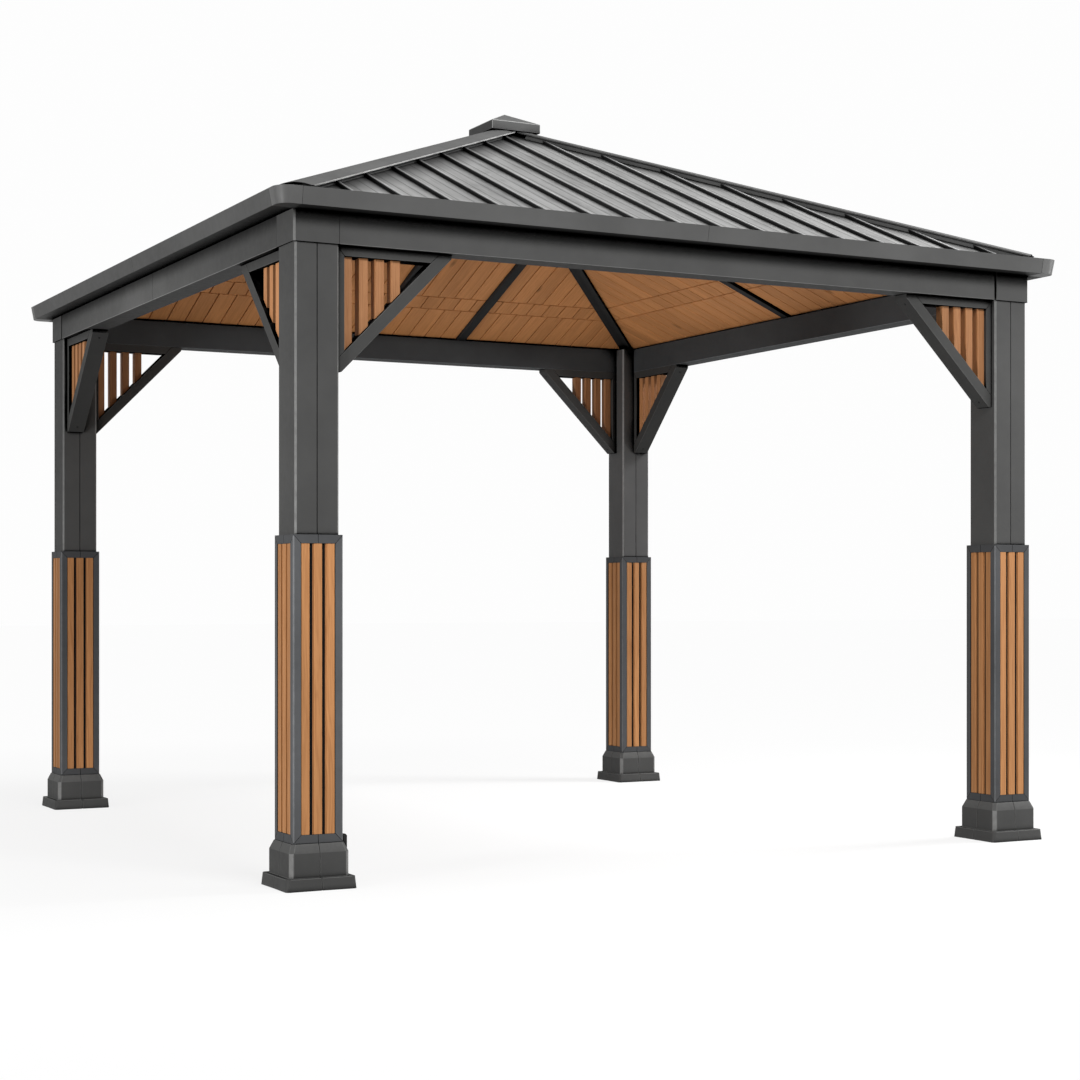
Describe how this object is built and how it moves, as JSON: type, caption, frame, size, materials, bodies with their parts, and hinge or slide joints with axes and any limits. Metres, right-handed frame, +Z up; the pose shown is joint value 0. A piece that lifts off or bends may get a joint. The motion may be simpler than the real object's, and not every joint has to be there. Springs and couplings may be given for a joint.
{
  "type": "hardtop gazebo",
  "caption": "Square open gazebo: slat-clad posts, corner braces, boarded ceiling and a hipped standing-seam metal roof.",
  "frame": {"origin": "middle of the square footprint, at ground level", "axes": "+Z up, +X to the right and +Y to the rear as seen from the front"},
  "size_m": [3.353, 3.353, 3.1002],
  "materials": {
    "frame_paint": "satin charcoal powder coat",
    "base_paint": "satin charcoal powder coat",
    "rafter_paint": "satin dark powder coat",
    "gutter_paint": "satin charcoal powder coat",
    "cap_paint": "satin charcoal powder coat",
    "roof_steel": "satin grey coated steel sheet",
    "slat_wood": "oiled light brown timber",
    "ceiling_wood": "stained warm brown boards"
  },
  "bodies": {
    "root": {"front_left_post": "frame_paint", "front_right_post": "frame_paint", "rear_right_post": "frame_paint", "rear_left_post": "frame_paint", "front_left_base_cover": "base_paint", "front_right_base_cover": "base_paint", "rear_right_base_cover": "base_paint", "rear_left_base_cover": "base_paint", "front_left_jacket_frame": "frame_paint", "front_right_jacket_frame": "frame_paint", "rear_right_jacket_frame": "frame_paint", "rear_left_jacket_frame": "frame_paint", "front_left_jacket_slats": "slat_wood", "front_right_jacket_slats": "slat_wood", "rear_right_jacket_slats": "slat_wood", "rear_left_jacket_slats": "slat_wood", "front_beam": "frame_paint", "right_beam": "frame_paint", "rear_beam": "frame_paint", "left_beam": "frame_paint", "post_head_covers": "frame_paint", "front_left_braces": "frame_paint", "front_right_braces": "frame_paint", "rear_right_braces": "frame_paint", "rear_left_braces": "frame_paint", "front_left_brace_slats": "slat_wood", "front_right_brace_slats": "slat_wood", "rear_right_brace_slats": "slat_wood", "rear_left_brace_slats": "slat_wood", "hip_rafters": "rafter_paint", "common_rafters": "rafter_paint", "roof_hub": "rafter_paint", "front_ceiling": "ceiling_wood", "right_ceiling": "ceiling_wood", "rear_ceiling": "ceiling_wood", "left_ceiling": "ceiling_wood", "front_roof_sheet": "roof_steel", "right_roof_sheet": "roof_steel", "rear_roof_sheet": "roof_steel", "left_roof_sheet": "roof_steel", "hip_caps": "cap_paint", "peak_cap": "cap_paint", "front_gutter": "gutter_paint", "right_gutter": "gutter_paint", "rear_gutter": "gutter_paint", "left_gutter": "gutter_paint", "gutter_corners": "gutter_paint"}
  },
  "joints": []
}
